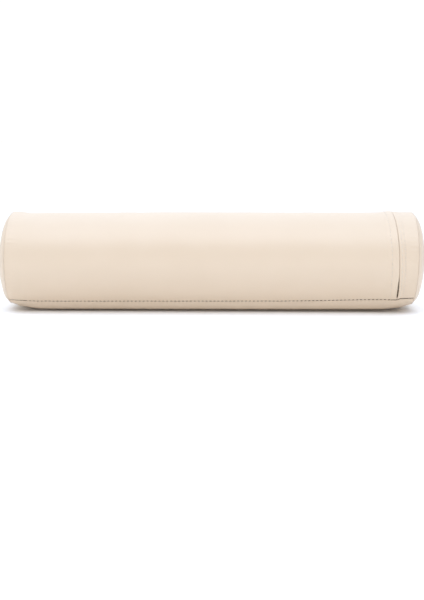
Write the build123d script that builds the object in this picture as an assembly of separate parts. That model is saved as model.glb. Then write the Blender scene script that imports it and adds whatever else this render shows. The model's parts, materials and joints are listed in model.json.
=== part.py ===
from build123d import *
import os
from math import cos, radians, sin

# A full round bolster pillow: a foam core in a sewn leathercloth casing. The casing is a wrap
# over the top, a bottom panel and two domed end panels. Near the +X end a concealed zipper runs
# round the casing from the front seam over the top to the back seam. It opens the end lid, which
# is the narrow band past the zipper with its end panel, and the core comes out there. The bottom
# panel runs on under the lid to the end seam, and bends there when the lid is pulled open.
#
# Everything is modelled about the bolster's own axis, along X at the origin, and then lifted so
# that the foot is on Z = 0. A section is drawn as (x, radius). An angle runs about the axis from
# +Y (the back) towards +Z: the top is at 90, the front (-Y) at 180 and the floor at 270.

# ---- driving dimensions, mm and degrees ----
RADIUS = 76.2  # outside of the casing
SKIN = 1.2  # leathercloth
FOOT = 2.5  # how far the round is pressed flat where it lies
END_LIFT = 0.8  # the ends stand this much off the floor
SEAM_X = 312.0  # end seams, each side of the middle
DOME = 17.0  # bulge of an end panel past its seam
DOME_POWER = 4
ZIP_X = 284.5  # middle of the zipper
SEAM_ANGLE = 46.0  # lengthwise seams, below the level of the axis
GAP = 0.1  # between soft parts that press together

RIDGE = 1.8  # how far the folded edges stand above the casing
FOLD_X = 1.5  # folded edges from the middle of the zipper
HEM = 10.5  # width turned under on the body's side
LID_HEM = 11.5  # width turned under on the lid's side
RAMP_X = 24.0  # where the ridge begins, from the middle of the zipper
CREST_X = 4.0  # where it is at its full height
BAND_RISE = 1.0  # the lid's band stands this much above the casing
BAND_RAMP_X = 11.0
BAND_END = 3.0

TAPE = 0.5
TAPE_R = 73.3  # inside of the tape where the slider runs on it
TAPE_STEP_X = 4.8  # where the tape drops from the hem to the slider's slot
COIL_IN, COIL_OUT = 0.6, 2.1  # from the middle of the zipper
COIL_R = 72.2
END_SPACE = 2.0  # angle that the zipper stops short of the lengthwise seams
PARK_SPACE = 1.0  # angle between a parked slider and the lid's tape

ALLOWANCE_R = 69.0  # turned-in edges of the end seams
ALLOWANCE = 2.4

CORE_NECK_R = 70.4  # foam where the zipper presses it in
CORE_TIP_R = 68.5
CORE_DOME = 16.0
CORE_BEVEL = 7.0

THREAD = 0.35  # radius of the sewing thread
STITCH = 3.8
LONG_PITCH = 6.1
ROUND_PITCH = 4.7  # degrees between the stitches round the zipper
BODY_ROW_X = 11.0
ROW_ANGLE = 1.5  # a lengthwise row of stitches, past its seam
LID_ROWS_X = (4.2, 8.2)

SLIDER_HALF = 4.3
SLIDER_ARC = 8.6
SLIDER_BOTTOM = (71.0, 71.9)
SLIDER_TOP = (74.1, 75.3)
SLOT = (73.0, 74.1)  # in the slider's sides, for the tapes
FLANGE = 0.7
POST_HALF = 0.3
SLIDER_ANGLE = 217.0  # where the slider parks
SLIDER_TRAVEL = 251.5  # to where it parks with the zipper open
BAIL_ANGLE = 219.5
PIN_R = 77.1  # distance of the pull's pin from the axis
PIN = 0.45
PIN_CLEARANCE = 0.05
PULL_HALF = 1.1
EYE = 0.9
EAR = 0.5
PULL_THICK = 1.0
PULL_ARC = 13.0

# ---- derived ----
AXIS_Z = RADIUS - FOOT
FRONT = 180 + SEAM_ANGLE
BACK = -SEAM_ANGLE
BOTTOM_END = 360 - SEAM_ANGLE
INSIDE = RADIUS - SKIN
CREST_R = RADIUS + RIDGE
FOLD_R = CREST_R - 2 * SKIN
FLOOR = -AXIS_Z
END_FLOOR = FLOOR + END_LIFT


def section(points):
    """A face from points given as (x, radius)."""
    return make_face(Polyline(*[(x, r) for x, r in points], close=True))


def turn(face, start=0.0, end=360.0):
    """The solid that a section sweeps round the axis between two angles."""
    return Rot(X=start) * revolve(face, Axis.X, end - start)


def ring(points, start=0.0, end=360.0):
    return turn(section(points), start, end)


def above(solid, level):
    """The part of a solid above a level, measured from the axis."""
    size = 4 * SEAM_X
    return solid & Pos(0, 0, level + size / 2) * Box(size, size, size)


def band_points(x0, x1, r0, r1):
    return [(x0, r0), (x1, r0), (x1, r1), (x0, r1)]


def skin(x0, x1, start, end, floor):
    """A plain stretch of casing with its foot pressed flat."""
    outer = above(ring(band_points(x0, x1, 0, RADIUS), start, end), floor)
    inner = above(ring(band_points(x0, x1, 0, INSIDE)), floor + SKIN)
    return outer - inner


def dome(base_x, rim, bulge):
    """A solid dome on the +X side, whose bulge falls away as a power of the radius."""
    steps = 12
    radii = [rim * (1 - i / steps) for i in range(steps + 1)]
    crown = Spline(*[(base_x + bulge * (1 - (r / rim) ** DOME_POWER), r) for r in radii])
    edges = crown + Polyline((base_x + bulge, 0), (base_x, 0), (base_x, rim))
    return turn(make_face(edges))


def end_panel():
    outer = above(dome(SEAM_X, RADIUS, DOME), END_FLOOR)
    inner = above(dome(SEAM_X - SKIN, RADIUS, DOME), END_FLOOR + SKIN)
    return outer - inner


def end_allowance():
    """The turned-in edges of an end panel and the casing, inside the seam."""
    points = band_points(SEAM_X - ALLOWANCE, SEAM_X, ALLOWANCE_R, INSIDE - GAP)
    return above(ring(points), END_FLOOR + SKIN + GAP)


def ridge_radius(x):
    """Outside of the casing beside the zipper, on the body's side."""
    along = (x + RAMP_X) / (RAMP_X - CREST_X)
    return RADIUS + RIDGE * min(1.0, max(0.0, along))


def main_panel():
    """The wrap, with its edge folded under beside the zipper."""
    hem_x = ZIP_X - FOLD_X - HEM
    hem_r = ridge_radius(hem_x - ZIP_X)
    edge = ZIP_X - FOLD_X
    points = [
        (-SEAM_X, RADIUS),
        (ZIP_X - RAMP_X, RADIUS),
        (ZIP_X - CREST_X, CREST_R),
        (edge - SKIN / 2, CREST_R),
        (edge, CREST_R - SKIN / 2),
        (edge, FOLD_R + SKIN / 2),
        (edge - SKIN / 2, FOLD_R),
        (ZIP_X - CREST_X, FOLD_R),
        (hem_x, hem_r - 2 * SKIN),
        (hem_x, hem_r - SKIN),
        (ZIP_X - RAMP_X, INSIDE),
        (-SEAM_X, INSIDE),
    ]
    return ring(points, BACK, FRONT)


def end_band():
    """The lid's band, folded under beside the zipper."""
    edge = ZIP_X + FOLD_X
    level = RADIUS + BAND_RISE
    hem_x = edge + LID_HEM
    points = [
        (edge, CREST_R - SKIN / 2),
        (edge + SKIN / 2, CREST_R),
        (ZIP_X + CREST_X + FOLD_X, CREST_R),
        (ZIP_X + BAND_RAMP_X, level),
        (SEAM_X - BAND_END, level),
        (SEAM_X, RADIUS),
        (SEAM_X, INSIDE),
        (SEAM_X - BAND_END, level - SKIN),
        (hem_x, level - SKIN),
        (hem_x, level - 2 * SKIN),
        (ZIP_X + BAND_RAMP_X, level - 2 * SKIN),
        (ZIP_X + CREST_X + FOLD_X, FOLD_R),
        (edge + SKIN / 2, FOLD_R),
        (edge, FOLD_R + SKIN / 2),
    ]
    return ring(points, BACK, FRONT)


def tape(side, hem_r, start, end):
    """A zipper tape, sewn under the hem and stepping down to the slider's slot."""
    top = TAPE_R + TAPE
    outer_x = ZIP_X + side * (FOLD_X + HEM)
    outer_r = hem_r - 2 * SKIN - GAP
    step_x = ZIP_X + side * TAPE_STEP_X
    shelf_x = step_x + side * 2
    lip_x = ZIP_X + side * COIL_IN
    points = [
        (outer_x, outer_r - GAP),
        (shelf_x, FOLD_R - 3 * GAP),
        (step_x, top),
        (lip_x, top),
        (lip_x, TAPE_R),
        (step_x, TAPE_R),
        (shelf_x, FOLD_R - 3 * GAP - TAPE),
        (outer_x, outer_r - GAP - TAPE),
    ]
    return ring(points, start, end)


def coil(side, start, end):
    near, far = sorted((ZIP_X + side * COIL_IN, ZIP_X + side * COIL_OUT))
    return ring(band_points(near, far, COIL_R, TAPE_R), start, end)


def stop(start, end):
    """A moulded block at an end of the zipper."""
    return ring(band_points(ZIP_X - COIL_OUT, ZIP_X - POST_HALF, COIL_R, TAPE_R + TAPE), start, end)


def foam_core():
    """Cut round, pressed in under the zipper, with soft domed ends."""
    full = INSIDE - 3 * GAP
    steps = 10
    radii = [CORE_TIP_R * (1 - i / steps) for i in range(steps + 1)]
    end_x = SEAM_X - ALLOWANCE - SKIN / 2
    bulge = [(end_x + CORE_DOME * (1 - (r / CORE_TIP_R) ** DOME_POWER), r) for r in radii]
    right = Spline(*bulge)
    left = Spline(*[(-x, r) for x, r in reversed(bulge)])
    side = Polyline(
        (-end_x, CORE_TIP_R),
        (-end_x + CORE_BEVEL, full),
        (ZIP_X - RAMP_X, full),
        (ZIP_X - 2 * CREST_X, CORE_NECK_R),
        (ZIP_X + CREST_X, CORE_NECK_R),
        (end_x, CORE_TIP_R),
    )
    axis_line = Line((end_x + CORE_DOME, 0), (-end_x - CORE_DOME, 0))
    return above(turn(make_face(left + side + right + axis_line)), FLOOR + SKIN + GAP)


def stitch_at(x, radius, angle, along_x):
    """One stitch lying on the casing."""
    place = Rot(X=angle) * Pos(x, radius + THREAD, 0)
    lie = Rot(Y=90) if along_x else Rot(0, 0, 0)
    return place * lie * Cylinder(THREAD, STITCH)


def lengthwise_row(angle):
    count = int((ZIP_X + SEAM_X - 2 * LONG_PITCH) / LONG_PITCH)
    first = -SEAM_X + LONG_PITCH
    spots = [first + i * LONG_PITCH for i in range(count)]
    return Compound([stitch_at(x, RADIUS + GAP, angle, True) for x in spots])


def round_row(x, radius):
    span = FRONT - BACK
    count = int(span / ROUND_PITCH)
    first = BACK + (span - (count - 1) * ROUND_PITCH) / 2
    spots = [first + i * ROUND_PITCH for i in range(count)]
    return Compound([stitch_at(x, radius + GAP, angle, False) for angle in spots])


def zipper_slider():
    """Two plates joined by a post, with sides turned in to hold the coils."""
    start = SLIDER_ANGLE - SLIDER_ARC / 2
    end = SLIDER_ANGLE + SLIDER_ARC / 2
    low, high = ZIP_X - SLIDER_HALF, ZIP_X + SLIDER_HALF
    body = ring(band_points(low, high, *SLIDER_BOTTOM), start, end)
    body += ring(band_points(low, high, *SLIDER_TOP), start, end)
    for x in (low, high - FLANGE):
        body += ring(band_points(x, x + FLANGE, SLIDER_BOTTOM[1], SLOT[0]), start, end)
    post = band_points(ZIP_X - POST_HALF, ZIP_X + POST_HALF, SLIDER_BOTTOM[1], SLIDER_TOP[0])
    body += ring(post, SLIDER_ANGLE, end - 1)
    return body


def at_pin(shape):
    """Puts a shape made about the pull's pin where the pin is, Y being outward there."""
    return Rot(X=BAIL_ANGLE) * Pos(ZIP_X, PIN_R, 0) * shape


def slider_bail():
    """The post on the slider's top plate that carries the pull's pin."""
    half = PULL_HALF - EAR - PIN_CLEARANCE
    height = PIN_R - SLIDER_TOP[1]
    stem = Pos(0, -height / 2, 0) * Box(2 * half, height, 2 * PIN)
    pin = Rot(Y=90) * Cylinder(PIN, 2 * PULL_HALF)
    return at_pin(stem + pin)


def pull_tab():
    """A slim curved blade in the groove between the folds, forked round the bail."""
    blade = ring(
        band_points(ZIP_X - PULL_HALF, ZIP_X + PULL_HALF, PIN_R - PULL_THICK / 2, PIN_R + PULL_THICK / 2),
        BAIL_ANGLE - PULL_ARC,
        BAIL_ANGLE,
    )
    eye = at_pin(Rot(Y=90) * Cylinder(EYE, 2 * PULL_HALF))
    hole = at_pin(Rot(Y=90) * Cylinder(PIN + PIN_CLEARANCE, 4 * PULL_HALF))
    slot = at_pin(Box(2 * (PULL_HALF - EAR), 4 * EYE, 4 * EYE))
    return blade + eye - hole - slot


def parts():
    mirror_x = Plane.YZ
    lid_start = SLIDER_ANGLE - SLIDER_TRAVEL + SLIDER_ARC / 2 + PARK_SPACE
    lid_end = SLIDER_ANGLE - SLIDER_ARC / 2 - PARK_SPACE
    body_hem_r = ridge_radius(-FOLD_X - HEM)
    lid_hem_r = RADIUS + BAND_RISE - GAP
    return {
        "foam_core": foam_core(),
        "main_panel": main_panel(),
        "bottom_panel": skin(-SEAM_X, ZIP_X, FRONT, BOTTOM_END, FLOOR),
        "bottom_panel_end": skin(ZIP_X, SEAM_X, FRONT, BOTTOM_END, END_FLOOR),
        "left_end_panel": mirror(end_panel(), mirror_x),
        "left_end_seam_allowance": mirror(end_allowance(), mirror_x),
        "front_seam_topstitch": lengthwise_row(FRONT + ROW_ANGLE),
        "back_seam_topstitch": lengthwise_row(BACK - ROW_ANGLE),
        "zipper_tape_body": tape(-1, body_hem_r, BACK + END_SPACE, FRONT - END_SPACE),
        "zipper_coil_body": coil(-1, BACK + END_SPACE, FRONT - END_SPACE),
        "zipper_topstitch_body": round_row(ZIP_X - BODY_ROW_X, ridge_radius(-BODY_ROW_X)),
        "front_zipper_stop": stop(FRONT - 1.8, FRONT - 0.4),
        "back_zipper_stop": stop(BACK + 0.4, BACK + 1.8),
        "end_band": end_band(),
        "right_end_panel": end_panel(),
        "right_end_seam_allowance": end_allowance(),
        "zipper_tape_lid": tape(1, lid_hem_r, lid_start, lid_end),
        "zipper_coil_lid": coil(1, lid_start, lid_end),
        "zipper_topstitch_lid_inner": round_row(ZIP_X + LID_ROWS_X[0], CREST_R),
        "zipper_topstitch_lid_outer": round_row(ZIP_X + LID_ROWS_X[1], CREST_R - RIDGE / 4),
        "zipper_slider": zipper_slider(),
        "slider_bail": slider_bail(),
        "pull_tab": pull_tab(),
    }


def main():
    os.makedirs("parts", exist_ok=True)
    for name, shape in parts().items():
        export_step(Pos(0, 0, AXIS_Z) * shape, "parts/" + name + ".step")
    pin_y = PIN_R * cos(radians(BAIL_ANGLE))
    pin_z = AXIS_Z + PIN_R * sin(radians(BAIL_ANGLE))
    print("axis height", AXIS_Z, "hinge height", round(AXIS_Z - RADIUS * sin(radians(SEAM_ANGLE)), 2))
    print("pull pin", round(pin_y, 3), round(pin_z, 3))


main()
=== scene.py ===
import json
import math

import bmesh
import bpy
import numpy as np
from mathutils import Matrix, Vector

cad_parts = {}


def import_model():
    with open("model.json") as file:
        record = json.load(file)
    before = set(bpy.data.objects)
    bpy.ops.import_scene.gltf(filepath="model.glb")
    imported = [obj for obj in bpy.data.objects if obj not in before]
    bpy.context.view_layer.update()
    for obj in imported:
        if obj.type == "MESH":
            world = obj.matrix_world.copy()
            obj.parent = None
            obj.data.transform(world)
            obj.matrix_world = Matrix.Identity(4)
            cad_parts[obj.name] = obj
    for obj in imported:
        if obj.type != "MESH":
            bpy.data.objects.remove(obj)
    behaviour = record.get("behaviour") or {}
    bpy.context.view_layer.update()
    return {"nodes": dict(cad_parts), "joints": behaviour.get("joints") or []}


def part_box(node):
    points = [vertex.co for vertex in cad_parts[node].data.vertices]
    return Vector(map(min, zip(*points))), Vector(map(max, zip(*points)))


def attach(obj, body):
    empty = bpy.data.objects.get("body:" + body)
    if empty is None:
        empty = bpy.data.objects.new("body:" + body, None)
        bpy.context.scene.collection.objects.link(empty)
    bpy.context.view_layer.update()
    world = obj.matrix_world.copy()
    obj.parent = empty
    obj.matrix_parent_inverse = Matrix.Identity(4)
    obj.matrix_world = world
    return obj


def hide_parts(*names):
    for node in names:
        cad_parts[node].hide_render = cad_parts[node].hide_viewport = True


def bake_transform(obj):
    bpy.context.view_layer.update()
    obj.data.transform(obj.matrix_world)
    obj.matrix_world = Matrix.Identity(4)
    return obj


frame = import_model()

# The looks of a full round bolster pillow in smooth cream leathercloth. Every panel is a grid of
# points given as (x, radius, angle) about the bolster's own axis, which lies along X. An angle
# runs from +Y (the back) towards +Z: the top is at 90, the front (-Y) at 180, the floor at 270.
# Lengths are in metres and angles in degrees.

MM = 0.001

# ---- places taken from the frame ----
end_low, end_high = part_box("left_end_panel")
hinge = next(j for j in frame["joints"] if j["name"] == "end_lid_hinge")["pos_m"]
slider_low, slider_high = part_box("zipper_slider")

RADIUS = (end_high.y - end_low.y) / 2
AXIS_Z = end_high.z - RADIUS
SEAM_X = -end_high.x  # the end seams, each side of the middle
ZIP_X = hinge[0]
SEAM_ANGLE = math.degrees(math.asin((AXIS_Z - hinge[2]) / RADIUS))
FRONT = 180 + SEAM_ANGLE
BACK = -SEAM_ANGLE
MIDWAY = (FRONT + BACK) / 2  # the stitch rows beside the zipper are laid out from here
SLIDER_ANGLE = 180 + math.degrees(
    math.atan2(AXIS_Z - (slider_low.z + slider_high.z) / 2, -(slider_low.y + slider_high.y) / 2)
)
TAPE_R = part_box("zipper_tape_body")[1].z - AXIS_Z

# ---- driving dimensions ----
SKIN = 1.2 * MM  # leathercloth
END_SLIT = 0.02 * MM  # half the slit between two panels at an end seam
END_ROLL = 0.18 * MM  # radius on which a panel turns down into it
END_DEPTH = 2.6 * MM
ROLL_OUT = 50  # degrees of the roll at which an end panel leaves it
RIM_IN = 0.2 * MM  # an end panel's rim is this much smaller than the casing
SLIT = 1.1 * MM  # half the slit of a lengthwise seam, which is pulled open a little
ROLL = 0.8 * MM
SEAM_DEPTH = 5.0 * MM
STITCHED_SLIT = 0.15 * MM  # and each stitch draws it in to this
LID_SLIT = 0.15 * MM  # it stands open this much more on the lid
TUCKED = 3  # columns of a panel that stand down in the seam
LAP = 0.35 * MM  # the wrap stands out this much at the seam, and the bottom panel sinks as much
FLARE = 2.0 * MM  # the casing swells at its end seam
FLARE_X = 24 * MM
BARREL = 1.3 * MM  # how much fuller the casing is over the top
BAND_CROWN = 0.9 * MM  # and the lid
VALLEY_SWELL = 0.3 * MM  # the cloth stands out beside a lengthwise seam
VALLEY = 0.6 * MM  # and dips into it
RIDGE_RAMP = 0.8 * MM  # slow rise of the casing towards the zipper
RIDGE_STEP = 1.5 * MM  # the step over the edge that is folded under
RIDGE_LIP = 0.4 * MM
RAMP_X, STEP_X, LIP_X = (-50 * MM, -14 * MM), (-19 * MM, -7 * MM), (-6 * MM, -1 * MM)  # from the zipper
BAND_RISE = 1.4 * MM  # the lid's band stands this much above the casing
BAND_LIP = 1.0 * MM  # and this much more at its edge
FOLD = 1.25 * MM  # radius of a folded edge
ZIP_BOW = 2.2 * MM  # the zipper leans this far towards the body over the top
FOLD_GAP = 0.06 * MM  # half the gap between the folds where they meet
PARTED = 1.08 * MM  # half the gap where the slider parts them
PARTED_FRONT = (-30, -13, 0, 6)  # degrees below the parked slider, as plateau() takes them
PARTED_BACK = (-27, -11, 9.5, 14)
HEM = 10.5 * MM  # cloth that is folded under
LID_HEM = 11.5 * MM
END_DOME = 15.0 * MM
DOME_POWER = 6.0  # flat in the middle and steep at the rim
DOME_SAG = 0.5 * MM
GATHER = 0.3 * MM  # height of the gathers along an end seam
LID_GATHER = 0.25 * MM
DOME_GATHER = 0.35 * MM
GATHERS = 90  # at most this many round the casing
DOME_GATHERS = 80
CLIMB_MIDDLE = -0.55  # the front seam's climb, in degrees, at the middle of the bolster
CLIMB_SLOPE = 4.9  # and for each metre along it
CLIMB_LEFT, CLIMB_RIGHT, CLIMB_LID = 1.8, 3.0, 1.9  # and what the two ends and the lid add
CLIMB_LEFT_X = 37 * MM
CLIMB_RIGHT_X = (100 * MM, 272 * MM)
CLIMB_ABOVE, CLIMB_BELOW = 26, 24  # degrees of cloth beside the seam that move with it
FOOT_SWELL = 5.2 * MM  # how far the bottom panel is stuffed out
SWELL_ANGLE, SWELL_SPAN = 237.0, 8.5  # where that is at the front, and its half-width
SWELL_END_LOSS = 0.75  # the share of it that is lost towards an end seam
SWELL_END_X = 45 * MM  # from this far off
SWELL_GAP = 14 * MM  # half-width of the dip in it where the zipper ends at the back
LEFT_OUT, LEFT_LEAN = 2.2 * MM, 0.9 * MM  # how far an end stands out, and its lean
RIGHT_OUT, RIGHT_LEAN = 0.5 * MM, 2.6 * MM
LEFT_LEAN_FROM, RIGHT_LEAN_FROM = SEAM_X - 22 * MM, ZIP_X + 9 * MM  # where it sets in
LIFT_REACH = 32.0 * MM  # the lift fades out at this height
FOOT_LIFT = 11.5 * MM  # how far the ends of the foot come off the floor
FOOT_LIFT_X = (-25 * MM, 12 * MM)  # where it sets in, from the end seam
EARLY_LIFT = 1.6 * MM  # the part of it that starts further in
EARLY_LIFT_X = (-55 * MM, -22 * MM)
PRESSED = 0.02 * MM  # cloth that comes this near the floor lies flat on it

RELIEF_CAP = 0.6 * MM  # the simulated cloth may move this far
CLOTH_ROWS, LID_CLOTH_ROWS = 84, 4  # of its points, along the body and along the lid
CLOTH_COLUMNS, FOOT_CLOTH_COLUMNS = 59, 19  # over the top and under the foot
CLOTH_FRAMES = 20
FINE = 0.6 * MM  # between the points of a grid near a seam
LONG_PITCH = 6.1 * MM
STEP = LONG_PITCH / 4  # between the points of a grid elsewhere
ROUND_PITCH = 4.7  # degrees
STITCH_POINTS = 9
BODY_ROW_X = ZIP_X - 11.0 * MM
LID_ROWS_X = (ZIP_X + 4.4 * MM, ZIP_X + 9.2 * MM)
THREAD = 0.37 * MM
STITCH = 3.9 * MM
STITCH_SLANT = 0.12 * MM  # each end of a stitch is this far off its row
STITCH_RISE = 0.55 * MM
GROOVE, GROOVE_LOW = 0.1 * MM, 0.28 * MM  # depth of a row's groove, and what it gains off the top
ROW_SUNK, ROW_SUNK_TOP = 0.52 * MM, 0.2 * MM  # how deep a row lies, and how much more on the top
BRIDGE = 2.6 * MM  # a stitch where it shows in a lengthwise seam
BRIDGE_RISE = 0.7 * MM
BRIDGE_DEPTH = 1.5 * MM
BRIDGE_SUNK, BRIDGE_SUNK_X = 0.4 * MM, 40 * MM  # the first ones lie deeper
PLAIN_SEAM = 24 * MM  # the lengthwise seams start with this much plain seam
LAST_STITCH = ZIP_X - 8 * MM
TAPE = 0.5 * MM
TAPE_OUTER_X, TAPE_SHELF_X, TAPE_STEP_X, TAPE_INNER_X = 12.0 * MM, 6.8 * MM, 4.8 * MM, 0.6 * MM
COIL_X = 1.35 * MM
COIL_R = 72.75 * MM
COIL_PITCH = 1.3 * MM
COIL_WIDE, COIL_HIGH = 0.48 * MM, 0.28 * MM
WIRE = 0.26 * MM

ALLOWANCE_R = 69.0 * MM  # the cut edge of a seam allowance
CLEAR = 0.3 * MM  # between the leathercloth and what lies inside it
CORE_TIP_R = 68.5 * MM  # the foam core at its two ends
CORE_NECK_R = 70.4 * MM  # and under the zipper
CORE_DOME = 15.5 * MM
CORE_PRESS = 6.5 * MM  # how far a lengthwise seam presses into it
CORE_UNDER_LID = 5.5 * MM  # its foot stands this much higher in the lid

SIDE_SKY = (1.04, 1.02, 1.01)  # colour and strength of the world near the horizon
TOP_SKY = (1.62, 1.84, 2.18)  # and overhead
RIGHT_SKY = 0.55  # what is left of the world high up on the right
FRONT_SKY = 0.15  # and in front
DIMMED_ABOVE = (0.24, 0.4)  # heights of the sky between which the dimming sets in
FRONT_POWER = 4.0  # watts
KEY_POWER = 7.3


# ---- shapes of curves ----
def smooth(value, start, end):
    """0 before start, 1 after end, and a smooth rise between them."""
    t = np.clip((value - start) / (end - start), 0, 1)
    return t * t * (3 - 2 * t)


def plateau(value, start, full, ending, end):
    """1 from full to ending, with smooth sides down to 0 at start and end."""
    return smooth(value, start, full) * (1 - smooth(value, ending, end))


def hump(distance, width):
    return np.exp(-((distance / width) ** 2))


def from_back(angle):
    """The same place as an angle from -90 to 270, so that the back seam's two sides are near."""
    return np.where(angle > 270, angle - 360, angle)


def from_top(angle):
    return np.abs(np.mod(angle + 90, 360) - 180)


def arc_length(angle_from, angle_to):
    return math.radians(angle_to - angle_from) * RADIUS


def seam_shift(x, angle):
    """The front seam climbs a little, in degrees, towards the zipper and on the lid."""
    climb = CLIMB_MIDDLE + CLIMB_SLOPE * x + CLIMB_LEFT * smooth(-x, SEAM_X - CLIMB_LEFT_X, SEAM_X)
    climb = climb + CLIMB_RIGHT * smooth(x, *CLIMB_RIGHT_X) + CLIMB_LID * smooth(x, ZIP_X, ZIP_X + 6 * MM)
    return -climb * plateau(angle, FRONT - CLIMB_ABOVE, FRONT, FRONT, FRONT + CLIMB_BELOW)


def foot_swell(x, radius, angle):
    """The bottom panel is stuffed out below each lengthwise seam, less towards its ends."""
    turned = np.mod(angle, 360)
    mirrored = 540 - turned
    front = hump(turned - SWELL_ANGLE, SWELL_SPAN)
    back = hump(mirrored - SWELL_ANGLE, SWELL_SPAN) * (1 - hump(x - ZIP_X, SWELL_GAP))
    inner = np.clip(radius / RADIUS, 0, 1) ** 4
    kept = 1 - SWELL_END_LOSS * smooth(np.abs(x), SEAM_X - SWELL_END_X, SEAM_X)
    return FOOT_SWELL * (front + back) * inner * kept


def end_lean(x, height):
    """The ends stand out a little, more at the top (height 1) than at the foot (height -1)."""
    left = (LEFT_OUT + LEFT_LEAN * height) * smooth(-x, LEFT_LEAN_FROM, SEAM_X)
    right = (RIGHT_OUT + RIGHT_LEAN * height) * smooth(x, RIGHT_LEAN_FROM, SEAM_X)
    return right - left


def stitch_pull(x, angle):
    """In degrees, how far each stitch of a lengthwise seam draws the cloth towards the seam."""
    turned = from_back(angle)
    nearest = np.where(np.abs(turned - FRONT) < np.abs(turned - BACK), FRONT, BACK)
    off = np.radians(turned - nearest) * RADIUS
    first = PLAIN_SEAM - SEAM_X
    tight = 0.5 - 0.5 * np.cos(2 * np.pi * (x - first) / LONG_PITCH)
    sewn = plateau(x, first - 1 * MM, first, LAST_STITCH - 1 * MM, LAST_STITCH)
    pull = (SLIT - STITCHED_SLIT) * tight**1.5 * sewn - LID_SLIT * smooth(x, ZIP_X, ZIP_X + 5 * MM)
    return np.degrees(-np.sign(off) * pull * hump(np.abs(off) - SLIT, 2 * MM) / RADIUS)


def place(x, radius, angle):
    """Points in the frame from places about the bolster's axis."""
    a = np.radians(angle + seam_shift(x, angle) + stitch_pull(x, angle))
    r = radius + foot_swell(x, radius, angle)
    x, y, z = np.broadcast_arrays(x, r * np.cos(a), AXIS_Z + r * np.sin(a))
    x = x + end_lean(x, (z - AXIS_Z) / RADIUS)
    return np.stack([x, y, z], axis=-1)


def seam_distance(angle):
    """How far a place is from the nearer lengthwise seam, measured round the casing."""
    turned = from_back(angle)
    nearest = np.minimum(np.abs(turned - FRONT), np.abs(turned - BACK))
    return np.radians(nearest) * RADIUS


def zip_fade(angle):
    """The ridge beside the zipper sinks into the lengthwise seams at its two ends."""
    past = np.maximum(angle - FRONT, BACK - from_back(angle))
    return 1 - 0.6 * smooth(past, -4.5, 0) - 0.4 * smooth(past, 0, 12)


def crown(angle):
    """1 over the top half, fading out before the lengthwise seams."""
    return 1 - smooth(from_top(angle), 60, 130)


def off_top(angle):
    """0 along the top, where the rows of stitches hardly show, and 1 from the flanks down."""
    return smooth(from_top(angle), 25, 75)


def casing_rise(x, angle):
    """How far the plain casing stands off its nominal radius on the body's side."""
    from_seam = x + SEAM_X
    flare = FLARE * (1 - smooth(from_seam, 5 * MM, FLARE_X))
    full = BARREL * smooth(from_seam, 15 * MM, 260 * MM)
    low = 1 - 0.5 * smooth(from_top(angle), 110, 150)
    rises = ((RIDGE_RAMP, RAMP_X), (RIDGE_STEP, STEP_X), (RIDGE_LIP, LIP_X))
    ridge = sum(height * smooth(x - ZIP_X, *places) for height, places in rises)
    return flare * low + full * crown(angle) + ridge * zip_fade(angle)


def zip_bow(angle):
    """The zipper leans towards the body over the top of the casing."""
    return -ZIP_BOW * hump(angle - 90, 55)


def band_rise(x, angle):
    """How far the lid's band stands off its nominal radius."""
    lip = BAND_LIP * (1 - smooth(x, ZIP_X + 2 * MM, ZIP_X + 12 * MM))
    return (BAND_RISE + lip) * zip_fade(angle) + BAND_CROWN * crown(angle)


def fold_gap(angle):
    """Half the gap between the two folded edges. It opens where the slider parks."""
    front = plateau(angle - SLIDER_ANGLE, *PARTED_FRONT)
    back = plateau(180 - SLIDER_ANGLE - angle, *PARTED_BACK)
    return FOLD_GAP + (PARTED - FOLD_GAP) * np.maximum(front, back)


def seam_valley(angle, x):
    """The casing dips towards a lengthwise seam and is pinched at each stitch."""
    e = seam_distance(angle)
    pinch = 1 + 0.3 * np.cos(2 * np.pi * (x + SEAM_X) / LONG_PITCH)
    swell = VALLEY_SWELL * plateau(e, 2 * MM, 7 * MM, 8 * MM, 24 * MM)
    above = np.where((angle < FRONT) & (angle > BACK), 1.0, -1.0)
    return swell + above * LAP * hump(e, 5 * MM) - VALLEY * hump(e, 3 * MM) * pinch


def stitch_valley(x, angle, row_x):
    """The groove that a row of stitches round the casing lies in."""
    pinch = 0.55 - 0.45 * np.cos(2 * np.pi * (angle - MIDWAY) / ROUND_PITCH)
    depth = GROOVE + GROOVE_LOW * off_top(angle)
    return -depth * hump(x - row_x - zip_bow(angle), 1.2 * MM) * pinch


def puckers(around, depth, seed, count):
    """Small gathers along a seam, as a height for each place along it."""
    draw = np.random.default_rng(seed)
    total = np.zeros_like(around)
    for _ in range(5):
        waves = draw.integers(count // 2, count)
        total = total + draw.uniform(0.4, 1.0) * np.sin(waves * around + draw.uniform(0, 6.28))
    return depth * total / 3


def floor_level(x):
    """How far the foot comes off the floor at each place along the bolster."""
    past_seam = np.abs(x) - SEAM_X
    early = EARLY_LIFT * smooth(past_seam, *EARLY_LIFT_X)
    return early + (FOOT_LIFT - EARLY_LIFT) * smooth(past_seam, *FOOT_LIFT_X)


def on_floor(points, above=0.0):
    """Presses points flat where they would go below the floor, and rounds the ends of the foot up."""
    gap = points[..., 2] - above
    soft = 0.6 * MM
    lifted = np.where(gap > 4 * soft, gap, soft * np.log1p(np.exp(np.minimum(gap / soft, 30))))
    height = above + np.maximum(lifted - PRESSED, 0)
    share = np.clip(1 - height / LIFT_REACH, 0, 1) ** 2
    points[..., 2] = height + floor_level(points[..., 0]) * share
    return points


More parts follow.
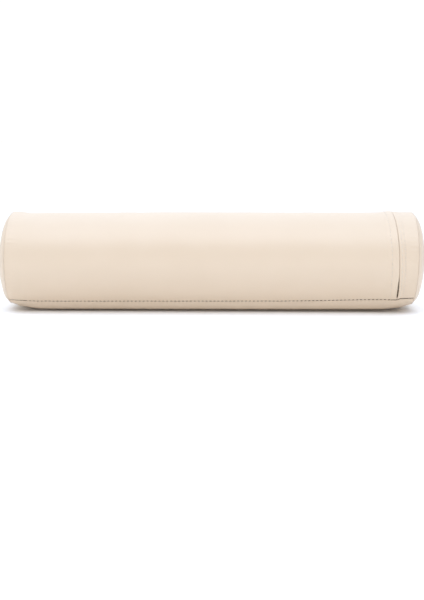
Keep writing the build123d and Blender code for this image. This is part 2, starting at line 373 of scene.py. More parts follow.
# ---- the simulated cloth ----
def simulate(obj, pinned, frames):
    """Lets the filling press the cloth out from its seams and returns where its points end up."""
    group = obj.vertex_groups.new(name="pinned")
    group.add(pinned, 1.0, "REPLACE")
    cloth = obj.modifiers.new("cloth", "CLOTH")
    settings = cloth.settings
    settings.quality = 6
    settings.mass = 0.3
    settings.tension_stiffness = settings.compression_stiffness = 5
    settings.shear_stiffness = 2
    settings.bending_stiffness = 10
    settings.shrink_min = -0.002
    settings.use_pressure = True
    settings.uniform_pressure_force = 4
    settings.vertex_group_mass = "pinned"
    settings.effector_weights.gravity = 0
    cloth.point_cache.frame_start, cloth.point_cache.frame_end = 1, frames
    for frame_number in range(1, frames + 1):
        bpy.context.scene.frame_set(frame_number)
    settled = obj.evaluated_get(bpy.context.evaluated_depsgraph_get()).to_mesh()
    found = np.zeros(len(settled.vertices) * 3)
    settled.vertices.foreach_get("co", found)
    bpy.context.scene.frame_set(1)
    return found.reshape(-1, 3)


def chained(start, count, middle, more, end):
    """Evenly spaced values from start to middle, and then at another spacing to the end."""
    return np.concatenate([np.linspace(start, middle, count), np.linspace(middle, end, more + 1)[1:]])


def simulated_relief():
    """Small dips and swellings of the casing, as radius over a grid of x and angle."""
    x = chained(-SEAM_X, CLOTH_ROWS, ZIP_X, LID_CLOTH_ROWS, SEAM_X)
    angles = chained(BACK, CLOTH_COLUMNS, FRONT, FOOT_CLOTH_COLUMNS, 360 + BACK)
    a = np.radians(angles[:-1])
    along = x[:, None] + 0 * a
    points = np.stack([along, RADIUS * np.cos(a) + 0 * along, RADIUS * np.sin(a) + 0 * along], axis=-1)
    faces = grid_faces(len(x), len(a), True)
    tube_of_cloth = build("cloth_tube", points.reshape(-1, 3), faces.tolist(), [])
    number = np.arange(along.size).reshape(along.shape)
    rings = number[[0, CLOTH_ROWS - 1, -1]].ravel()
    lines = number[:, [0, CLOTH_COLUMNS - 1]].ravel()
    pinned = np.unique(np.concatenate([rings, lines])).tolist()
    settled = simulate(tube_of_cloth, pinned, CLOTH_FRAMES).reshape(points.shape)
    bpy.data.objects.remove(tube_of_cloth)
    moved = np.hypot(settled[..., 1], settled[..., 2]) - RADIUS
    relief = RELIEF_CAP * np.tanh(moved / RELIEF_CAP)
    return x, angles, np.append(relief, relief[:, :1], axis=1)


def relief_at(x, angle):
    """The simulated relief at any place, eased between the points of its grid."""
    grid_x, grid_angles, relief = RELIEF
    turned = np.where(angle < BACK, angle + 360, angle)
    turned = np.where(turned > 360 + BACK, turned - 360, turned)
    i = np.clip(np.searchsorted(grid_x, x) - 1, 0, len(grid_x) - 2)
    j = np.clip(np.searchsorted(grid_angles, turned) - 1, 0, len(grid_angles) - 2)
    u = smooth(x, grid_x[i], grid_x[i + 1])
    v = smooth(turned, grid_angles[j], grid_angles[j + 1])
    low = relief[i, j] * (1 - v) + relief[i, j + 1] * v
    high = relief[i + 1, j] * (1 - v) + relief[i + 1, j + 1] * v
    return low * (1 - u) + high * u


# ---- edges of panels, as (distance from the seam, depth) ----
def turned_edge(roll, slit, deep):
    """Cloth that comes up out of a seam and rolls over into the panel."""
    t = np.linspace(0, np.pi / 2, 6)
    distance = np.concatenate([[slit, slit], slit + roll * (1 - np.cos(t))])
    depth = np.concatenate([[-deep, -(deep + roll) / 2], -roll * (1 - np.sin(t))])
    return distance, depth


def across(length, roll, slit, deep, near=6 * MM):
    """(distance, depth) from one seam of a panel to the seam on its other side."""
    distance, depth = turned_edge(roll, slit, deep)
    start = distance[-1]
    close = np.arange(start + FINE, near, FINE)
    count = int(round((length - 2 * near) / STEP)) + 1
    middle = np.linspace(near, length - near, count)
    half = np.concatenate([distance, close])
    half_depth = np.concatenate([depth, np.zeros_like(close)])
    along = np.concatenate([half, middle, length - half[::-1]])
    return along, np.concatenate([half_depth, np.zeros(count), half_depth[::-1]])


# ---- meshes ----
def grid_faces(rows, columns, wrap):
    """Quads of a grid whose outside is the side that the columns-by-rows normal points to."""
    last = columns if wrap else columns - 1
    i, j = np.meshgrid(np.arange(rows - 1), np.arange(last), indexing="ij")
    next_j = (j + 1) % columns
    corners = [i * columns + j, i * columns + next_j, (i + 1) * columns + next_j, (i + 1) * columns + j]
    return np.stack(corners, axis=-1).reshape(-1, 4)


def grid_normals(points, wrap):
    if wrap:
        padded = np.concatenate([points[:, -1:], points, points[:, :1]], axis=1)
        around = padded[:, 2:] - padded[:, :-2]
    else:
        around = np.gradient(points, axis=1)
    along = np.gradient(points, axis=0)
    normal = np.cross(around, along)
    return normal / np.maximum(np.linalg.norm(normal, axis=-1, keepdims=True), 1e-12)


def strip(first, second):
    """Quads between two lines of vertex numbers."""
    return np.stack([first[:-1], first[1:], second[1:], second[:-1]], axis=-1)


def build(name, vertices, faces, materials, face_material=None, uv=None):
    """A smooth-shaded mesh object in the scene."""
    mesh = bpy.data.meshes.new(name)
    mesh.from_pydata(vertices.tolist(), [], faces)
    for material in materials:
        mesh.materials.append(material)
    if face_material is not None:
        mesh.polygons.foreach_set("material_index", face_material)
    if uv is not None:
        layer = mesh.uv_layers.new(name="cloth")
        loops = np.zeros(len(mesh.loops), np.int32)
        mesh.loops.foreach_get("vertex_index", loops)
        layer.data.foreach_set("uv", uv[loops].astype(np.float32).ravel())
    mesh.polygons.foreach_set("use_smooth", np.ones(len(mesh.polygons), bool))
    mesh.validate()
    mesh.update()
    obj = bpy.data.objects.new(name, mesh)
    bpy.context.scene.collection.objects.link(obj)
    return obj


def lengths(points, axis):
    """How far each point lies along its row or column of a grid."""
    steps = np.linalg.norm(np.diff(points, axis=axis), axis=-1)
    first = np.zeros_like(np.take(steps, [0], axis=axis))
    return np.cumsum(np.concatenate([first, steps], axis=axis), axis=axis)


def shell(name, outside, thickness, materials, wrap=False, pole=False, flip=False, tucked=0):
    """A sheet of cloth of some thickness, from the grid of its outside face.

    With wrap the columns close on themselves. With pole the first row is one point.
    The second material goes on the inner side, and the third, a dark painted shade, on the outermost
    columns of the outside, as many as tucked says, which stand down in the lengthwise seams.
    """
    if flip:
        outside = outside[:, ::-1]
    rows, columns = outside.shape[:2]
    inside = outside - thickness * grid_normals(outside, wrap)
    if pole:
        inside[0] = outside[0] + (inside[1] - outside[1]).mean(axis=0)
    size = rows * columns
    quads = grid_faces(rows, columns, wrap)
    number = np.arange(size).reshape(rows, columns)
    loop = np.append(number, number[:, :1], axis=1) if wrap else number
    rims = [strip(loop[-1], loop[-1] + size)]
    if not pole:
        rims.append(strip(loop[0] + size, loop[0]))
    if not wrap:
        rims.append(strip(number[:, 0], number[:, 0] + size))
        rims.append(strip(number[:, -1] + size, number[:, -1]))
    rim = np.concatenate(rims)
    faces = np.concatenate([quads, quads[:, ::-1] + size, rim])
    inner = np.zeros(len(faces), np.int32)
    if len(materials) > 1:
        inner[len(quads) : 2 * len(quads)] = 1
    if tucked:
        column = np.tile(np.arange(columns - 1), rows - 1)
        inner[: len(quads)][(column < tucked) | (column >= columns - 1 - tucked)] = 2
    vertices = np.concatenate([outside.reshape(-1, 3), inside.reshape(-1, 3)])
    flat = np.stack([lengths(outside, 1), lengths(outside, 0)], axis=-1).reshape(-1, 2)
    obj = build(name, vertices, faces.tolist(), materials, inner, np.concatenate([flat, flat]))
    if pole:
        weld_pole(obj)
    return obj


def weld_pole(obj):
    """Merges the points that a row of a grid puts in one place."""
    mesh = bmesh.new()
    mesh.from_mesh(obj.data)
    bmesh.ops.remove_doubles(mesh, verts=mesh.verts, dist=1e-7)
    bmesh.ops.dissolve_degenerate(mesh, dist=1e-8, edges=mesh.edges)
    mesh.to_mesh(obj.data)
    mesh.free()


def tube(path, radius, sides=6):
    """Vertices and faces of a round wire along a path, with closed ends."""
    tangent = np.gradient(path, axis=0)
    tangent /= np.maximum(np.linalg.norm(tangent, axis=1, keepdims=True), 1e-12)
    outward = path - np.array([0, 0, AXIS_Z])
    outward[:, 0] = 0
    outward /= np.linalg.norm(outward, axis=1, keepdims=True)
    side = np.cross(tangent, outward + 0.01)
    side /= np.linalg.norm(side, axis=1, keepdims=True)
    up = np.cross(side, tangent)
    turn = np.linspace(0, 2 * np.pi, sides, endpoint=False)
    r = np.broadcast_to(radius, len(path))[:, None, None]
    ring = side[:, None] * np.cos(turn)[None, :, None] + up[:, None] * np.sin(turn)[None, :, None]
    vertices = (path[:, None] + r * ring).reshape(-1, 3)
    faces = [list(f) for f in grid_faces(len(path), sides, True)[:, ::-1].tolist()]
    faces.append(list(range(sides)))
    faces.append(list(range(len(vertices) - sides, len(vertices)))[::-1])
    return vertices, faces


def join_tubes(name, tubes, material):
    """One object from many wires."""
    vertices, faces, used = [], [], 0
    for points, quads in tubes:
        vertices.append(points)
        faces.extend([[v + used for v in f] for f in quads])
        used += len(points)
    return build(name, np.concatenate(vertices), faces, [material])


# ---- materials ----
def new_material(name, color, roughness):
    material = bpy.data.materials.new(name)
    material.use_nodes = True
    shader = material.node_tree.nodes["Principled BSDF"]
    shader.inputs["Base Color"].default_value = (*color, 1)
    shader.inputs["Roughness"].default_value = roughness
    return material, material.node_tree, shader


def node(tree, kind, **values):
    """A new shader node. Each value sets the socket of that name, or else the property."""
    made = tree.nodes.new(kind)
    for key, value in values.items():
        if key in made.inputs:
            made.inputs[key].default_value = value
        else:
            setattr(made, key, value)
    return made


def texture(tree, kind, coordinates, **values):
    made = node(tree, kind, **values)
    tree.links.new(coordinates, made.inputs["Vector"])
    return made


def noise_of(tree, coordinates, scale, detail, rough=0.5):
    made = texture(tree, "ShaderNodeTexNoise", coordinates, Scale=scale, Detail=detail, Roughness=rough)
    return made.outputs["Fac"]


def math_of(tree, operation, first, second):
    """One step of arithmetic on two values, each a number or the output of another node."""
    made = node(tree, "ShaderNodeMath", operation=operation)
    for socket, value in zip(made.inputs, (first, second)):
        if isinstance(value, (int, float)):
            socket.default_value = value
        else:
            tree.links.new(value, socket)
    return made.outputs[0]


def give_look(tree, shader, color, normal):
    tree.links.new(color, shader.inputs["Base Color"])
    tree.links.new(normal, shader.inputs["Normal"])


def object_coordinates(tree):
    return node(tree, "ShaderNodeTexCoord").outputs["Object"]


def mixed_color(tree, factor, first, second):
    mix = node(tree, "ShaderNodeMix", data_type="RGBA")
    tree.links.new(factor, mix.inputs[0])
    mix.inputs[6].default_value = (*first, 1)
    mix.inputs[7].default_value = (*second, 1)
    return mix.outputs[2]


def ranged(tree, factor, low, high, to_low, to_high):
    made = node(tree, "ShaderNodeMapRange")
    for key, value in (("From Min", low), ("From Max", high), ("To Min", to_low), ("To Max", to_high)):
        made.inputs[key].default_value = value
    tree.links.new(factor, made.inputs["Value"])
    return made.outputs["Result"]


def bump(tree, height, distance, strength, after=None):
    made = node(tree, "ShaderNodeBump", Distance=distance, Strength=strength)
    tree.links.new(height, made.inputs["Height"])
    if after is not None:
        tree.links.new(after, made.inputs["Normal"])
    return made.outputs["Normal"]


def leathercloth():
    """Smooth satin coating with a fine pebbled grain and a faint unevenness of tone."""
    material, tree, shader = new_material("leathercloth", (0.65, 0.54, 0.41), 0.42)
    place_on = object_coordinates(tree)
    broad = noise_of(tree, place_on, 9, 3)
    tone = ranged(tree, broad, 0.3, 0.7, 0, 1)
    color = mixed_color(tree, tone, (0.625, 0.498, 0.370), (0.642, 0.515, 0.386))
    fine = noise_of(tree, place_on, 160, 3)
    tree.links.new(ranged(tree, fine, 0.3, 0.7, 0.38, 0.46), shader.inputs["Roughness"])
    cells = texture(tree, "ShaderNodeTexVoronoi", place_on, feature="SMOOTH_F1", Scale=1150)
    pebbles = bump(tree, cells.outputs["Distance"], 0.03 * MM, 0.35)
    give_look(tree, shader, color, bump(tree, fine, 0.12 * MM, 0.25, pebbles))
    shader.inputs["Coat Weight"].default_value = 0.2
    shader.inputs["Coat Roughness"].default_value = 0.32
    return material


def tucked_edge():
    """Painted shade for the seam allowance deep in a lengthwise seam: a dark colour that stands in for
    the shadow in the slit.
    """
    material, tree, shader = new_material("tucked_edge", (0.11, 0.08, 0.05), 0.8)
    grain = noise_of(tree, object_coordinates(tree), 500, 3)
    # painted shade for the slit of the seam, mottled by a fine grain
    color = mixed_color(tree, grain, (0.08, 0.055, 0.035), (0.15, 0.11, 0.075))
    give_look(tree, shader, color, bump(tree, grain, 0.05 * MM, 0.5))
    return material


def knit_backing():
    """The knitted base cloth on the inner side of the leathercloth."""
    material, tree, shader = new_material("knit_backing", (0.78, 0.70, 0.61), 0.95)
    cells = texture(tree, "ShaderNodeTexVoronoi", object_coordinates(tree), Scale=900)
    loops = cells.outputs["Distance"]
    color = mixed_color(tree, loops, (0.78, 0.70, 0.61), (0.65, 0.57, 0.49))
    give_look(tree, shader, color, bump(tree, loops, 0.15 * MM, 0.6))
    shader.inputs["Sheen Weight"].default_value = 0.25
    return material


def thread():
    """Bonded sewing thread, with the slant of its twist, painted darker in the twist's grooves as shade.
    """
    material, tree, shader = new_material("thread", (0.62, 0.54, 0.44), 0.6)
    place_on = object_coordinates(tree)
    wave = texture(
        tree, "ShaderNodeTexWave", place_on, Scale=420, Distortion=0.6, bands_direction="DIAGONAL"
    )
    twist = wave.outputs["Fac"]
    # the grooves of the twist get the darker colour: painted shade
    color = mixed_color(tree, twist, (0.54, 0.47, 0.40), (0.67, 0.59, 0.51))
    give_look(tree, shader, color, bump(tree, twist, 0.08 * MM, 0.7))
    return material


def zipper_weave():
    """Close polyester twill: ribs along the tape crossed by a finer weft, painted darker where the weave
    is low as shade between the yarns.
    """
    material, tree, shader = new_material("zipper_weave", (0.62, 0.53, 0.42), 0.85)
    cloth = node(tree, "ShaderNodeUVMap", uv_map="cloth").outputs["UV"]
    ribs = texture(tree, "ShaderNodeTexWave", cloth, Scale=260, bands_direction="Y")
    weft = texture(tree, "ShaderNodeTexWave", cloth, Scale=380, bands_direction="DIAGONAL")
    height = math_of(tree, "MULTIPLY", ribs.outputs["Fac"], weft.outputs["Fac"])
    # low parts of the weave get the darker colour: painted shade between the yarns
    color = mixed_color(tree, height, (0.50, 0.42, 0.33), (0.68, 0.59, 0.48))
    give_look(tree, shader, color, bump(tree, height, 0.1 * MM, 0.7))
    shader.inputs["Sheen Weight"].default_value = 0.15
    return material


def nylon():
    material, tree, shader = new_material("nylon", (0.66, 0.57, 0.46), 0.38)
    grain = noise_of(tree, object_coordinates(tree), 700, 2)
    color = mixed_color(tree, grain, (0.60, 0.51, 0.41), (0.70, 0.61, 0.50))
    give_look(tree, shader, color, bump(tree, grain, 0.02 * MM, 0.4))
    shader.inputs["Subsurface Weight"].default_value = 0.1
    return material


def slider_metal():
    """Dark bronze plating, worn a little brighter in places."""
    material, tree, shader = new_material("slider_metal", (0.10, 0.075, 0.05), 0.35)
    wear = noise_of(tree, object_coordinates(tree), 420, 4, 0.6)
    worn = ranged(tree, wear, 0.45, 0.75, 0, 1)
    color = mixed_color(tree, worn, (0.09, 0.068, 0.048), (0.22, 0.17, 0.12))
    tree.links.new(ranged(tree, wear, 0.3, 0.7, 0.28, 0.45), shader.inputs["Roughness"])
    give_look(tree, shader, color, bump(tree, wear, 0.02 * MM, 0.3))
    shader.inputs["Metallic"].default_value = 1.0
    return material


def foam():
    """Cut polyurethane foam: open pores of a few sizes, painted darker inside as shade."""
    material, tree, shader = new_material("foam", (0.80, 0.67, 0.49), 1.0)
    place_on = object_coordinates(tree)
    large = texture(tree, "ShaderNodeTexVoronoi", place_on, Scale=420)
    small = texture(tree, "ShaderNodeTexVoronoi", place_on, Scale=1100)
    both = math_of(tree, "MULTIPLY", large.outputs["Distance"], small.outputs["Distance"])
    pores = ranged(tree, both, 0.05, 0.3, 0, 1)
    # the pores get the darker colour: painted shade inside them
    color = mixed_color(tree, pores, (0.64, 0.50, 0.34), (0.84, 0.70, 0.52))
    give_look(tree, shader, color, bump(tree, pores, 0.5 * MM, 0.8))
    shader.inputs["Sheen Weight"].default_value = 0.2
    return material


LEATHER = leathercloth()
BACKING = knit_backing()
# the cloth, its backing, and the dark painted shade that lines the slit of a lengthwise seam
SEAMED = [LEATHER, BACKING, tucked_edge()]
THREAD_LOOK = thread()
WEAVE = zipper_weave()
NYLON = nylon()
METAL = slider_metal()
FOAM = foam()


# ---- panels ----
def panel_angles(start, end):
    """Angles from seam to seam of a panel, with the depth at each."""
    along, depth = across(arc_length(start, end), ROLL, SLIT, SEAM_DEPTH)
    return start + np.degrees(along / RADIUS), depth


def fold_path(rise, edge, side, angles):
    """The folded edge beside the zipper, from the top round to the underside."""
    t = np.linspace(90, -90, 9)[1:-1]
    turn = np.radians(t)[:, None]
    centre_x = edge - side * FOLD
    top = RADIUS + rise(centre_x, angles)
    x = centre_x + side * FOLD * np.cos(turn)
    radius = top - FOLD + FOLD * np.sin(turn)
    return x, radius


def hem_path(rise, edge, side, width, angles):
    """The cloth under the fold, from the fold back to its cut edge."""
    share = np.linspace(0, 1, 12)[:, None]
    x = edge - side * (FOLD + share * (width - FOLD))
    return x, RADIUS + rise(x, angles) - 2 * FOLD


def main_panel():
    """The wrap over the top, from the left end seam to the fold beside the zipper."""
    angles, dip = panel_angles(BACK, FRONT)
    start, start_dip = turned_edge(END_ROLL, END_SLIT, END_DEPTH)
    flat_end = ZIP_X - 16 * MM
    plain = np.concatenate(
        [
            np.arange(start[-1] + FINE, 8 * MM, FINE),
            np.arange(8 * MM, flat_end + SEAM_X, STEP),
        ]
    )
    edge = ZIP_X + zip_bow(angles) - fold_gap(angles)
    share = np.linspace(0, 1, 34)[:, None]
    near = flat_end + share * (edge - FOLD - flat_end)
    x_plain = (np.concatenate([start, plain]) - SEAM_X)[:, None] + 0 * angles
    end_dip = np.concatenate([start_dip, np.zeros(len(plain) + len(near))])[:, None]
    x = np.concatenate([x_plain, near])
    gathers = puckers(np.radians(angles) + 0 * x, GATHER, 4, GATHERS)
    gathers = gathers * hump(x + SEAM_X - 4 * MM, 9 * MM)
    gathers = gathers * smooth(x + SEAM_X, 0, 4 * MM)
    radius = RADIUS + casing_rise(x, angles) + seam_valley(angles + 0 * x, x) + gathers + end_dip
    radius = radius + relief_at(x, angles + 0 * x)
    radius = radius + stitch_valley(x, angles, BODY_ROW_X)
    fold_x, fold_r = fold_path(casing_rise, edge, 1, angles)
    hem_x, hem_r = hem_path(casing_rise, edge, 1, HEM, angles)
    x = np.concatenate([x, fold_x, hem_x])
    radius = np.concatenate([radius, fold_r, hem_r]) + dip
    panel = shell("main_panel_cover", on_floor(place(x, radius, angles)), SKIN, SEAMED, tucked=TUCKED)
    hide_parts("main_panel")
    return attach(panel, "casing")


def end_band():
    """The lid's narrow band, from the fold beside the zipper to the right end seam."""
    angles, dip = panel_angles(BACK, FRONT)
    edge = ZIP_X + zip_bow(angles) + fold_gap(angles)
    end, end_dip = turned_edge(END_ROLL, END_SLIT, END_DEPTH)
    hem_x, hem_r = hem_path(band_rise, edge, -1, LID_HEM, angles)
    fold_x, fold_r = fold_path(band_rise, edge, -1, angles)
    last = SEAM_X - end[-1] - FINE
    share = np.linspace(0, 1, 34)[:, None]
    top_x = edge + FOLD + share * (last - edge - FOLD)
    end_x = (SEAM_X - end[::-1])[:, None] + 0 * angles
    x = np.concatenate([top_x, end_x])
    depth = np.concatenate([np.zeros(len(top_x)), end_dip[::-1]])[:, None]
    gathers = puckers(np.radians(angles) + 0 * x, LID_GATHER, 8, GATHERS)
    gathers = gathers * hump(x - SEAM_X + 3 * MM, 7 * MM)
    gathers = gathers * smooth(SEAM_X - x, 0, 4 * MM)
    radius = RADIUS + band_rise(x, angles) + depth + gathers
    radius = radius + 0.6 * seam_valley(angles + 0 * x, x) + relief_at(x, angles + 0 * x)
    for row_x in LID_ROWS_X:
        radius = radius + stitch_valley(x, angles, row_x)
    x = np.concatenate([hem_x[::-1], fold_x[::-1], x])
    radius = np.concatenate([hem_r[::-1], fold_r[::-1], radius]) + dip
    band = shell("end_band_cover", on_floor(place(x, radius, angles)), SKIN, SEAMED, tucked=TUCKED)
    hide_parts("end_band")
    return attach(band, "end_lid")


def bottom_panel():
    """The strip it lies on, one piece under the casing and the lid."""
    angles, dip = panel_angles(FRONT, 360 + BACK)
    along, end_dip = across(2 * SEAM_X, END_ROLL, END_SLIT, END_DEPTH)
    x = (along - SEAM_X)[:, None] + 0 * angles
    lid = smooth(x, ZIP_X - 2 * MM, ZIP_X + 4 * MM)
    rise = casing_rise(np.minimum(x, ZIP_X), angles) * (1 - lid) + band_rise(x, angles) * lid
    radius = RADIUS + rise + seam_valley(angles + 0 * x, x) + end_dip[:, None] + dip
    radius = radius + relief_at(x, angles + 0 * x)
    points = on_floor(place(x, radius, angles))
    panel = shell("bottom_panel_cover", points, SKIN, SEAMED, tucked=TUCKED)
    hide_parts("bottom_panel", "bottom_panel_end")
    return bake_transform(panel)


def end_panel(name, side, node_name, body, seed):
    """A domed disc, whose rim rolls over into the end seam."""
    angles = np.linspace(0, 360, 260, endpoint=False)
    roll = END_ROLL
    rim = RADIUS - RIM_IN
    inner = rim - roll + roll * math.sin(math.radians(ROLL_OUT))
    radii = chained(0, 30, inner - 12 * MM, 15, inner)
    base = roll + END_SLIT
    lift = base + roll * math.cos(math.radians(ROLL_OUT))
    bulge = lift + (END_DOME - lift) * (1 - (radii / inner) ** DOME_POWER)
    turn = np.radians(np.linspace(ROLL_OUT, 180, 9)[1:])
    roll_x = base + roll * np.cos(turn)
    roll_r = rim - roll + roll * np.sin(turn)
    out = np.concatenate([bulge, roll_x, [END_SLIT]])[:, None]
    radius = np.concatenate([radii, roll_r, [RADIUS - END_DEPTH]])[:, None]
    rise = casing_rise(-SEAM_X, angles) if side < 0 else band_rise(SEAM_X, angles)
    near_rim = hump(radius - rim + 3 * MM, 9 * MM) * smooth(radius, 0, 30 * MM)
    near_rim = near_rim * smooth(rim - radius, 0.6 * MM, 5 * MM)
    gathers = puckers(np.radians(angles) + 0 * radius, DOME_GATHER, seed, DOME_GATHERS) * near_rim
    midway = 4 * (radius / RADIUS) * (1 - radius / RADIUS)
    sag = DOME_SAG * np.sin(np.radians(2 * angles + 40 * seed)) * midway
    out = out + gathers + sag
    points = on_floor(place(side * (SEAM_X + out), radius * (1 + rise / RADIUS), angles))
    points[0] = points[0].mean(axis=0)
    panel = shell(name, points, SKIN, [LEATHER, BACKING], wrap=True, pole=True, flip=side > 0)
    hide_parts(node_name)
    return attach(panel, body)


def seam_allowance(name, side, node_name, body, seed):
    """The turned-in edges of the end panel and the casing, lying together inside the seam."""
    angles = np.linspace(0, 360, 240, endpoint=False)
    radius = np.linspace(ALLOWANCE_R, RADIUS - SKIN - CLEAR, 7)[:, None]
    layers = []
    for layer, offset in enumerate((0.1 * MM, 1.3 * MM)):
        free = (1 - smooth(radius, ALLOWANCE_R, ALLOWANCE_R + 5 * MM)) * 0.35 * MM
        wave = puckers(np.radians(angles) + 0 * radius, 1.0, seed + layer, 24) * free
        x = side * (SEAM_X - offset - 0.1 * MM - np.abs(wave))
        layers.append(on_floor(place(x, radius + 0 * angles, angles), 1.4 * MM))
    pieces = [
        shell(name + "_" + str(i), points, SKIN - 0.2 * MM, [LEATHER], wrap=True, flip=side < 0)
        for i, points in enumerate(layers)
    ]
    joined = join_objects(name, pieces)
    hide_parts(node_name)
    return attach(joined, body)


def join_objects(name, objects):
    with bpy.context.temp_override(
        active_object=objects[0], selected_editable_objects=objects, object=objects[0]
    ):
        bpy.ops.object.join()
    objects[0].name = name
    return objects[0]


def foam_core():
    """Cut foam, pressed in under the seams, the zipper and the foot."""
    angles = np.linspace(0, 360, 240, endpoint=False)
    end_x = SEAM_X - 3.0 * MM
    full = RADIUS - SKIN - CLEAR
    radii = np.linspace(0, CORE_TIP_R, 24)
    bulge = CORE_DOME * (1 - (radii / CORE_TIP_R) ** 4)
    left_x = -end_x - bulge
    body_x = np.linspace(-end_x, end_x, 320)
    body_r = CORE_TIP_R + (full - CORE_TIP_R) * smooth(body_x, -end_x, -end_x + 8 * MM)
    body_r = body_r - (full - CORE_NECK_R) * smooth(body_x, ZIP_X - 26 * MM, ZIP_X - 8 * MM)
    body_r = body_r - (CORE_NECK_R - CORE_TIP_R) * smooth(body_x, ZIP_X + 4 * MM, end_x)
    x = np.concatenate([left_x, body_x[1:-1], (end_x + bulge)[::-1]])[:, None]
    radius = np.concatenate([radii, body_r[1:-1], radii[::-1]])[:, None]
    press = CORE_PRESS * hump(seam_distance(angles), 5 * MM) * smooth(radius, 60 * MM, 72 * MM)
    points = place(x, radius - press, angles)
    level = SKIN + CLEAR + CORE_UNDER_LID * smooth(points[..., 0], ZIP_X - 45 * MM, ZIP_X - 15 * MM)
    points[..., 2] = np.maximum(points[..., 2], level + floor_level(points[..., 0]))
    vertices = points.reshape(-1, 3)
    core = build("foam_core_block", vertices, grid_faces(len(x), len(angles), True).tolist(), [FOAM])
    weld_pole(core)
    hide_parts("foam_core")
    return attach(core, "casing")


# ---- zipper ----
def zipper_tape(name, side, node_name, body):
    """A woven tape under the hem, stepping down to the slot of the slider."""
    start, end = node_span(node_name)
    count = int(arc_length(start, end) / (1.5 * MM))
    angles = np.linspace(start, end, count)
    rise = casing_rise if side < 0 else band_rise
    outer = ZIP_X + side * np.linspace(TAPE_OUTER_X, TAPE_SHELF_X, 8)[:, None] + 0 * angles
    under = RADIUS + rise(outer, angles) - 2 * FOLD - 0.2 * MM
    shelf = np.linspace(TAPE_SHELF_X, TAPE_STEP_X, 7)[1:, None]
    drop = smooth(-shelf, -TAPE_SHELF_X, -TAPE_STEP_X)
    shelf_r = under[-1] * (1 - drop) + TAPE_R * drop
    lip = np.linspace(TAPE_STEP_X, TAPE_INNER_X, 7)[1:, None]
    x = np.concatenate([outer, ZIP_X + side * shelf + 0 * angles, ZIP_X + side * lip + 0 * angles])
    radius = np.concatenate([under, shelf_r, TAPE_R + 0 * lip + 0 * angles])
    tape = shell(name, place(x, radius, angles), TAPE, [WEAVE], flip=side > 0)
    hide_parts(node_name)
    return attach(tape, body)


def node_span(name):
    """The first and last angle of a CAD node that runs round the casing over the top."""
    points = np.array([v.co for v in frame["nodes"][name].data.vertices])
    angle = np.degrees(np.arctan2(points[:, 2] - AXIS_Z, points[:, 1]))
    angle = np.where(angle < -90, angle + 360, angle)
    return float(angle.min()), float(angle.max())


def zipper_coil(name, side, node_name, body):
    """A nylon coil: one wire wound round and round along the tape's edge."""
    start, end = node_span(node_name)
    turns = int(math.radians(end - start) * COIL_R / COIL_PITCH)
    t = np.linspace(0, turns * 2 * np.pi, turns * 9 + 1)
    angles = np.linspace(start + 0.3, end - 0.3, len(t))
    x = ZIP_X + side * (COIL_X + COIL_WIDE * np.cos(t))
    radius = COIL_R + COIL_HIGH * np.sin(t)
    coil = join_tubes(name, [tube(place(x, radius, angles), WIRE, 5)], NYLON)
    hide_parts(node_name)
    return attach(coil, body)


# ---- stitching ----
ARCH = np.sin(np.linspace(0, np.pi, STITCH_POINTS)) ** 0.5  # the rise of a stitch along its length


def stitch_tube(points):
    """One stitch: thread that rises out of a hole, lies flat and goes back down."""
    length = len(points)
    thick = THREAD * np.sin(np.linspace(0.45, np.pi - 0.45, length)) ** 0.35
    return tube(points, thick)


def round_stitches(name, row_x, rise, node_name, body, phase=0.0):
    """A row of stitches round the casing, beside the zipper."""
    count = int((FRONT - BACK) / ROUND_PITCH)
    first = MIDWAY - (count - 1) / 2 * ROUND_PITCH
    half = math.degrees(STITCH / 2 / RADIUS)
    made = []
    for i in range(count):
        angles = first + (i + phase) * ROUND_PITCH + np.linspace(-half, half, STITCH_POINTS)
        sunk = ROW_SUNK + ROW_SUNK_TOP * (1 - off_top(angles))
        top = RADIUS + rise(np.array(row_x), angles) - sunk + STITCH_RISE * ARCH
        top = top + relief_at(row_x + 0 * angles, angles)
        lean = np.linspace(-STITCH_SLANT, STITCH_SLANT, STITCH_POINTS)
        made.append(stitch_tube(on_floor(place(row_x + zip_bow(angles) + lean, top, angles))))
    row = join_tubes(name, made, THREAD_LOOK)
    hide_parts(node_name)
    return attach(row, body)


def lengthwise_stitches(name, angle, node_name):
    """Stitches that bridge the slit of a lengthwise seam."""
    first = -SEAM_X + PLAIN_SEAM
    count = int((LAST_STITCH - first) / LONG_PITCH)
    made = []
    for i in range(count):
        centre = first + (i + 0.5) * LONG_PITCH
        along = centre + np.linspace(-0.5, 0.5, STITCH_POINTS) * BRIDGE
        sunk = BRIDGE_SUNK * (1 - smooth(centre, first, first + BRIDGE_SUNK_X))
        radius = RADIUS - BRIDGE_DEPTH - sunk + BRIDGE_RISE * ARCH
        made.append(stitch_tube(place(along, radius, angle + 0 * along)))
    row = join_tubes(name, made, THREAD_LOOK)
    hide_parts(node_name)
    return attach(row, "casing")


# ---- CAD nodes that are shown as they are ----
def dress_node(name, material):
    """Softens the edges of a CAD node with modifiers and gives it its material."""
    shown = frame["nodes"][name]
    shown.data.materials.clear()
    shown.data.materials.append(material)
    weld = shown.modifiers.new("weld", "WELD")
    weld.merge_threshold = 0.005 * MM
    round_off = shown.modifiers.new("round_off", "BEVEL")
    round_off.width = 0.16 * MM
    round_off.segments = 2
    round_off.limit_method = "ANGLE"
    round_off.angle_limit = math.radians(35)
    shown.data.shade_smooth()
    shown.modifiers.new("even_normals", "WEIGHTED_NORMAL")


# ---- stage ----
def floor():
    bpy.ops.mesh.primitive_plane_add(size=30, location=(0, 0, -0.05 * MM))
    plane = bpy.context.active_object
    plane.name = "studio_floor"
    material, _, shader = new_material("studio_floor", (0.955, 0.935, 0.905), 0.9)
    shader.inputs["Specular IOR Level"].default_value = 0.1
    plane.data.materials.append(material)


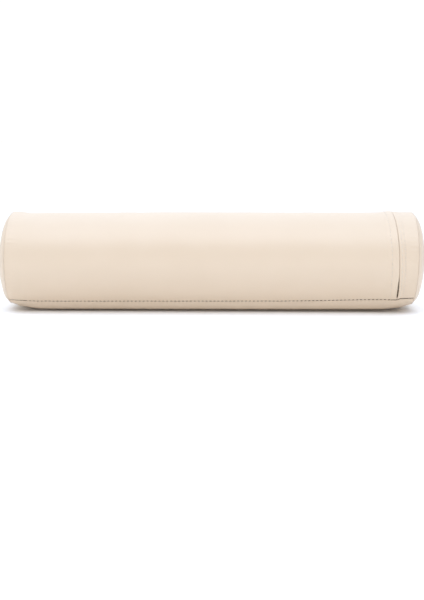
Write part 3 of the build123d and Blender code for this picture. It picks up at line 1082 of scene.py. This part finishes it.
def world():
    """A white studio, brighter and cooler overhead, and dimmer high up in front and to the right."""
    made = bpy.data.worlds.new("studio")
    bpy.context.scene.world = made
    made.use_nodes = True
    tree = made.node_tree
    back = tree.nodes["Background"]
    direction = node(tree, "ShaderNodeTexCoord").outputs["Generated"]
    split = node(tree, "ShaderNodeSeparateXYZ")
    tree.links.new(direction, split.inputs[0])
    height = ranged(tree, split.outputs["Z"], 0.1, 0.9, 0, 1)
    tree.links.new(mixed_color(tree, height, SIDE_SKY, TOP_SKY), back.inputs["Color"])
    right = ranged(tree, split.outputs["X"], 0.3, 1, 0, 1 - RIGHT_SKY)
    front = ranged(tree, split.outputs["Y"], -0.8, 0.1, 1 - FRONT_SKY, 0)
    above = ranged(tree, split.outputs["Z"], *DIMMED_ABOVE, 0, 1)
    lost = math_of(tree, "MULTIPLY", math_of(tree, "MAXIMUM", right, front), above)
    tree.links.new(math_of(tree, "SUBTRACT", 1, lost), back.inputs["Strength"])


def soft_light(name, place_at, target, size, power, color):
    light = bpy.data.lights.new(name, "AREA")
    light.shape = "RECTANGLE"
    light.size, light.size_y = size
    light.energy = power
    light.color = color
    obj = bpy.data.objects.new(name, light)
    bpy.context.scene.collection.objects.link(obj)
    obj.location = place_at
    aim(obj, target)


def aim(obj, target):
    """Turns a light or the camera, which look along their own -Z, to a place."""
    direction = Vector(target) - obj.location
    obj.rotation_mode = "QUATERNION"
    obj.rotation_quaternion = direction.to_track_quat("-Z", "Y")


def camera():
    distance = 1.52
    azimuth, elevation = math.radians(1.0), math.radians(8.0)
    data = bpy.data.cameras.new("camera")
    data.lens = 57.2
    data.sensor_width = 36
    data.shift_y = -0.065
    obj = bpy.data.objects.new("camera", data)
    bpy.context.scene.collection.objects.link(obj)
    obj.location = (
        distance * math.sin(azimuth) * math.cos(elevation),
        -distance * math.cos(azimuth) * math.cos(elevation),
        AXIS_Z + distance * math.sin(elevation),
    )
    aim(obj, (0, 0, AXIS_Z))
    bpy.context.scene.camera = obj


# ---- the bolster ----
RELIEF = simulated_relief()


main_panel()
end_band()
bottom_panel()
end_panel("left_end_dome", -1, "left_end_panel", "casing", 1)
end_panel("right_end_dome", 1, "right_end_panel", "end_lid", 2)
seam_allowance("left_allowance", -1, "left_end_seam_allowance", "casing", 5)
seam_allowance("right_allowance", 1, "right_end_seam_allowance", "end_lid", 9)
foam_core()
zipper_tape("tape_body", -1, "zipper_tape_body", "casing")
zipper_tape("tape_lid", 1, "zipper_tape_lid", "end_lid")
zipper_coil("coil_body", -1, "zipper_coil_body", "casing")
zipper_coil("coil_lid", 1, "zipper_coil_lid", "end_lid")
round_stitches("stitches_body", BODY_ROW_X, casing_rise, "zipper_topstitch_body", "casing")
round_stitches("stitches_lid_inner", LID_ROWS_X[0], band_rise, "zipper_topstitch_lid_inner", "end_lid")
round_stitches(
        "stitches_lid_outer", LID_ROWS_X[1], band_rise, "zipper_topstitch_lid_outer", "end_lid", 0.5
    )
lengthwise_stitches("stitches_front", FRONT, "front_seam_topstitch")
lengthwise_stitches("stitches_back", BACK, "back_seam_topstitch")
for stop in ("front_zipper_stop", "back_zipper_stop"):
    dress_node(stop, NYLON)
for metal_part in ("zipper_slider", "slider_bail", "pull_tab"):
    dress_node(metal_part, METAL)

floor()
world()
soft_light(
    "front_soft",
    place_at=(0, -2.0, 0.16),
    target=(0, 0, AXIS_Z / 2),
    size=(3.0, 0.3),
    power=FRONT_POWER,
    color=(1.0, 0.97, 0.93),
)
soft_light(
    "key_soft",
    place_at=(0, -0.5, 0.95),
    target=(0, -0.42, 0),
    size=(2.0, 0.7),
    power=KEY_POWER,
    color=(0.93, 1.0, 1.12),
)
camera()
bpy.context.scene.view_settings.view_transform = "Standard"
